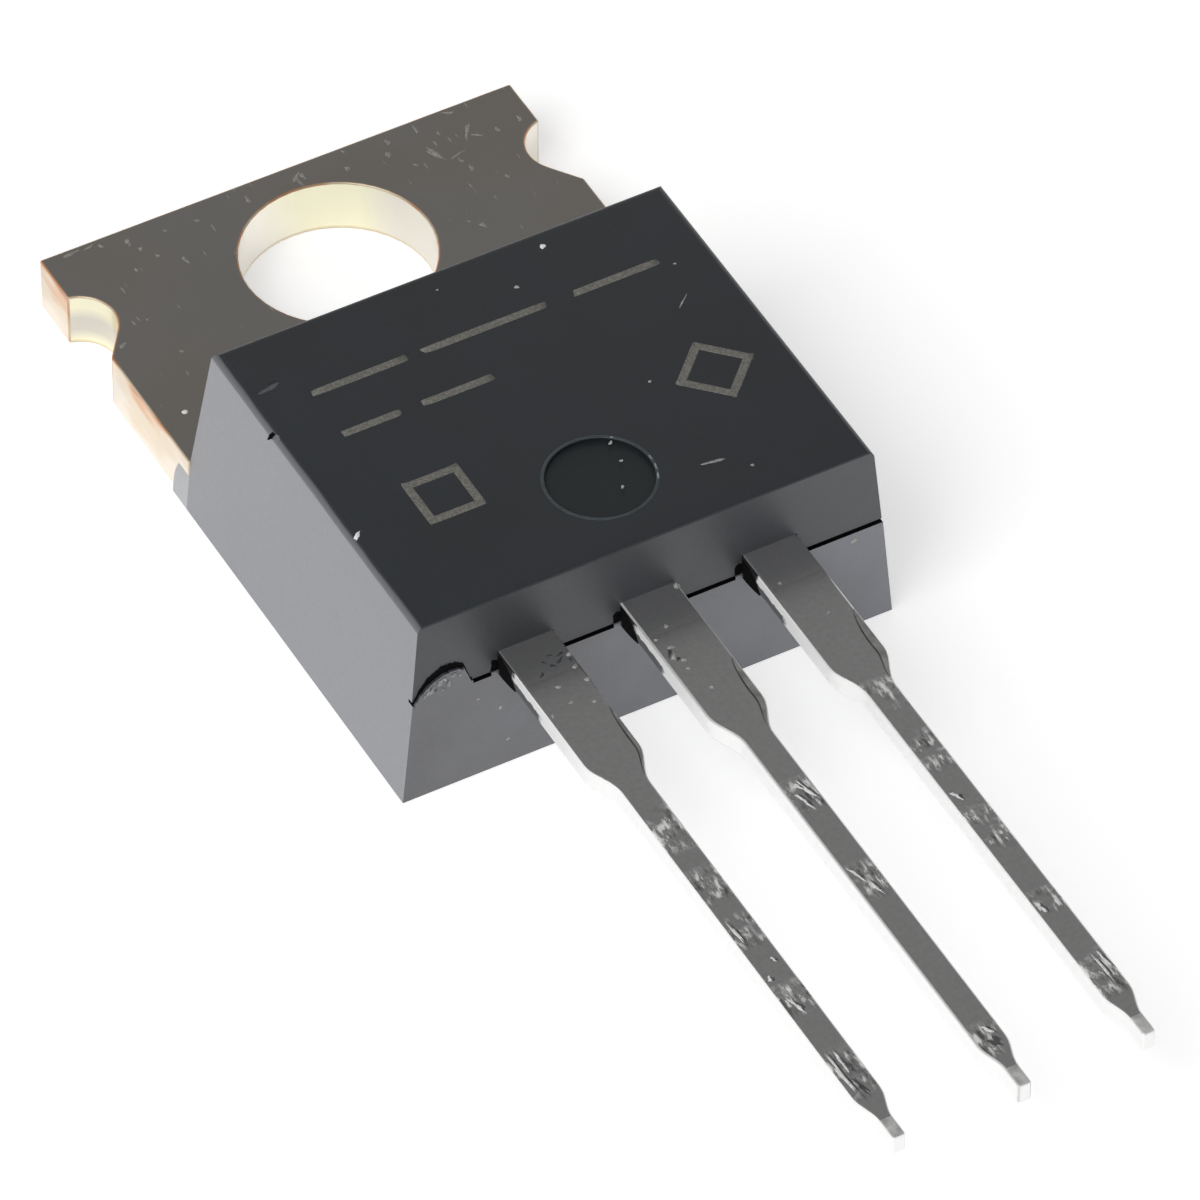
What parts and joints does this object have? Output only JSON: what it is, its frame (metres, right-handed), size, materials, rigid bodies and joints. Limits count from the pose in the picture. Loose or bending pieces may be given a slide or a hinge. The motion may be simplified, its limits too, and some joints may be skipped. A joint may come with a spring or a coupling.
{
  "type": "power transistor",
  "caption": "Through-hole power transistor: moulded case with straight leads and a screw-down metal heat-sink tab with a round mounting hole.",
  "frame": {"origin": "centre of the tab's mounting hole on the tab's back face", "axes": "+Z out of the marked front face, +Y towards the tab's bare end, leads towards -Y, +X towards the source lead's side"},
  "size_m": [0.0102, 0.0284, 0.0043],
  "materials": {
    "plated_copper": "dull nickel-plated copper, bare copper at the stamped edges",
    "tinned_leads": "matt tin plate with scuffs",
    "silicon": "polished grey silicon",
    "solder": "dull soft solder",
    "aluminium_wire": "bright drawn wire",
    "moulding_compound": "satin black epoxy moulding compound"
  },
  "bodies": {
    "root": {"tab_and_drain_lead": "plated_copper", "gate_lead": "tinned_leads", "source_lead": "tinned_leads", "silicon_chip": "silicon", "chip_solder": "solder", "gate_bond_wire": "aluminium_wire", "source_bond_wire": "aluminium_wire", "moulded_body": "moulding_compound"}
  },
  "joints": []
}
